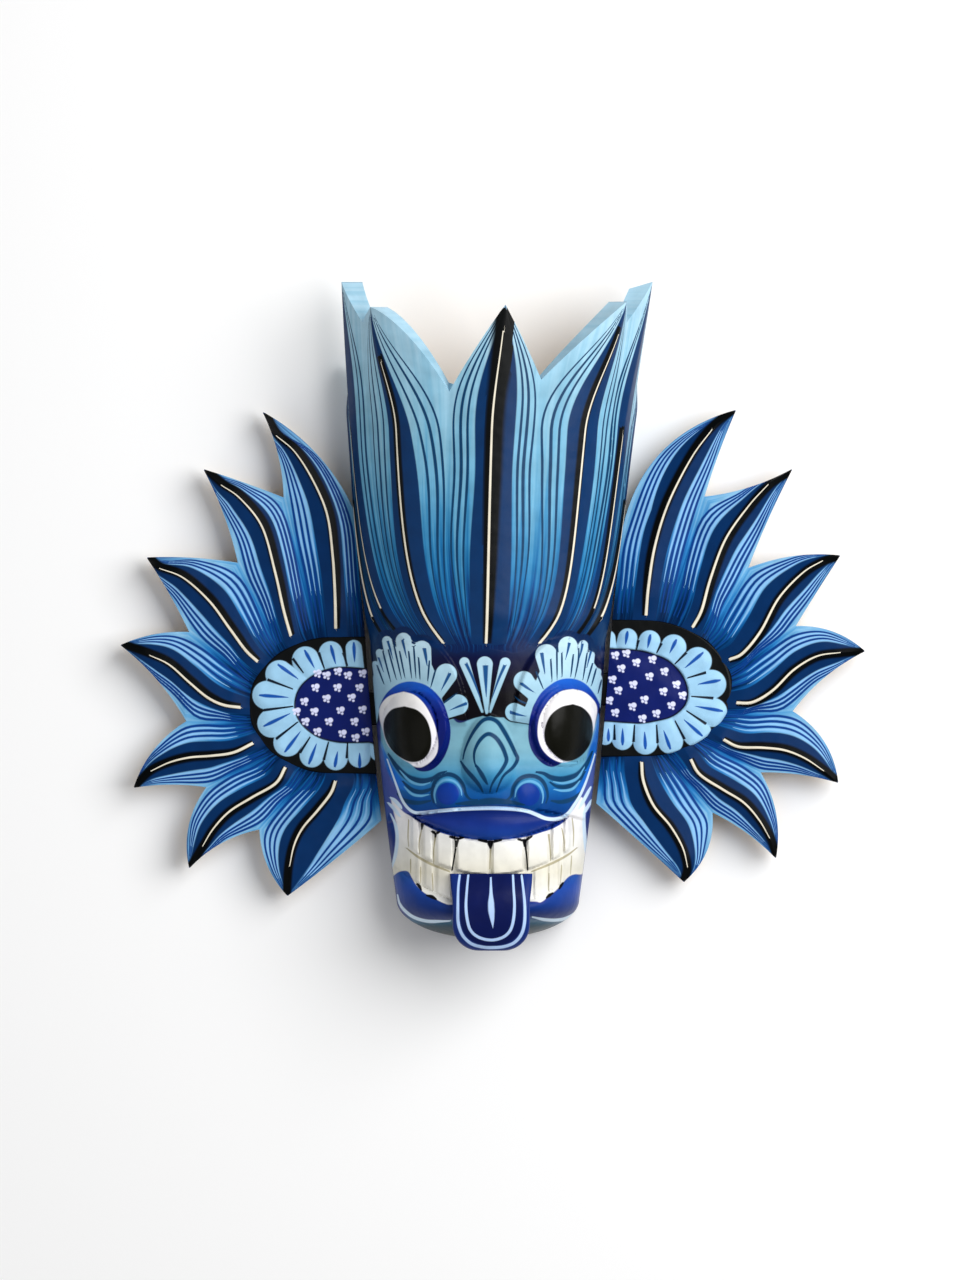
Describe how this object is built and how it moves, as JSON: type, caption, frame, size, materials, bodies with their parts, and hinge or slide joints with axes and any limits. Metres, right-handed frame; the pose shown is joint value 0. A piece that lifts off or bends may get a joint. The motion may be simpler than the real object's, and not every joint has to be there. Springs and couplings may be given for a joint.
{
  "type": "sri lankan raksha mask",
  "caption": "Carved and enamelled fire demon mask with a tall crown of flames, bulging eyes, bared teeth, a hanging tongue and a board of flames at each ear.",
  "frame": {"origin": "on the surface that the mask lies on, under the middle of its bounding box", "axes": "+Z out of the face, +Y towards the crown's tips, +X towards the mask's board that a viewer sees on the right"},
  "size_m": [0.3411, 0.3057, 0.0701],
  "materials": {
    "face_enamel": "blue enamel paint under gloss lacquer on carved light wood",
    "left_board_enamel": "blue enamel paint under gloss lacquer on carved light wood",
    "right_board_enamel": "blue enamel paint under gloss lacquer on carved light wood"
  },
  "bodies": {
    "root": {"face": "face_enamel", "left_ear_flames": "left_board_enamel", "right_ear_flames": "right_board_enamel"}
  },
  "joints": []
}
